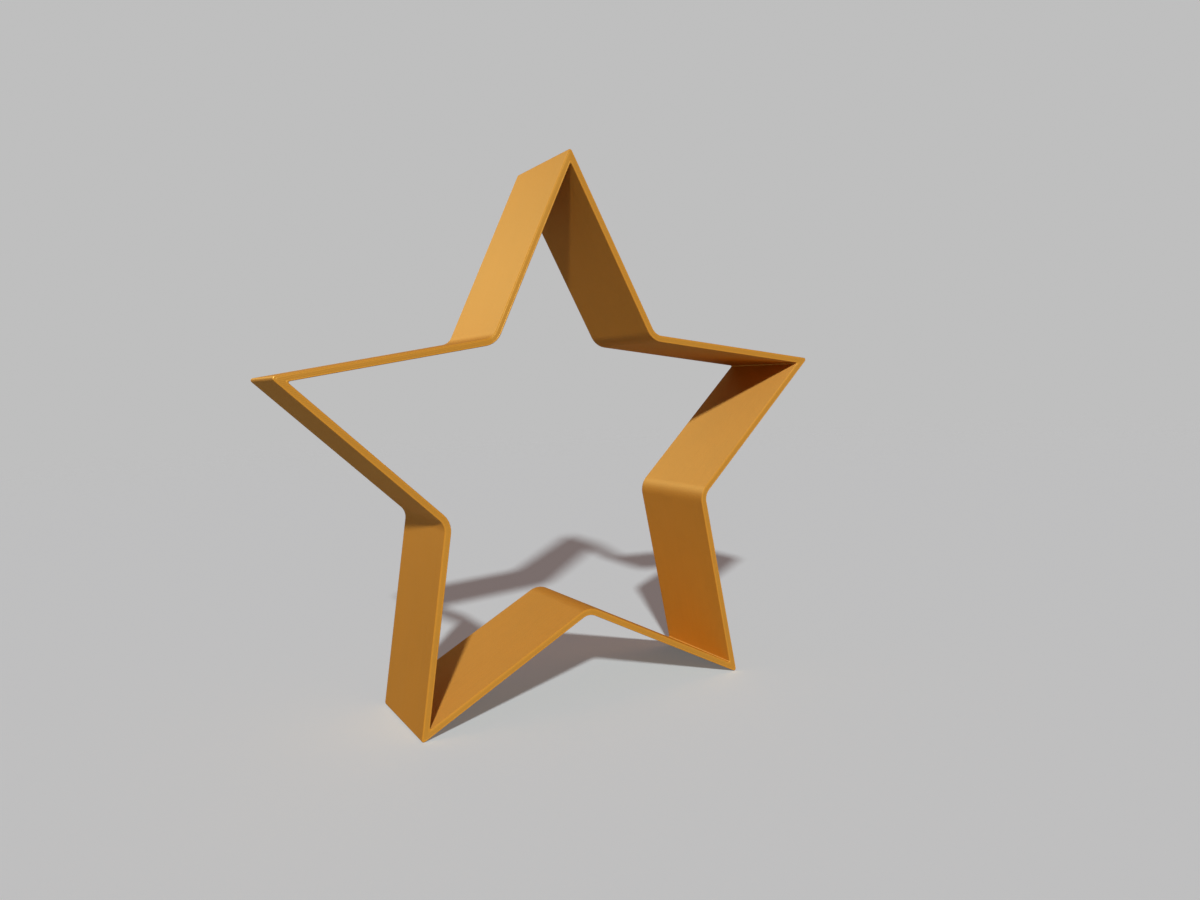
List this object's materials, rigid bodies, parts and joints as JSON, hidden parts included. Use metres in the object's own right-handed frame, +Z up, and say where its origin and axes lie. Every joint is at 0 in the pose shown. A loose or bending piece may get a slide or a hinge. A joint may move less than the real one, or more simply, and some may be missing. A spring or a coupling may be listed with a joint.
{
  "type": "open star ornament",
  "caption": "Open star outline printed as a single deep band, with sharp tips and rounded valleys, that stands upright on its lower tips as a decoration.",
  "frame": {"origin": "on the surface that the two lower tips stand on, below the middle of the star", "axes": "+Z up through the top tip, +X to the right seen from the front, +Y from the front rim to the back rim"},
  "size_m": [0.396, 0.084, 0.3768],
  "materials": {
    "printed_plastic": "satin ochre filament with fine layer lines along the band"
  },
  "bodies": {
    "root": {"star_frame": "printed_plastic"}
  },
  "joints": []
}
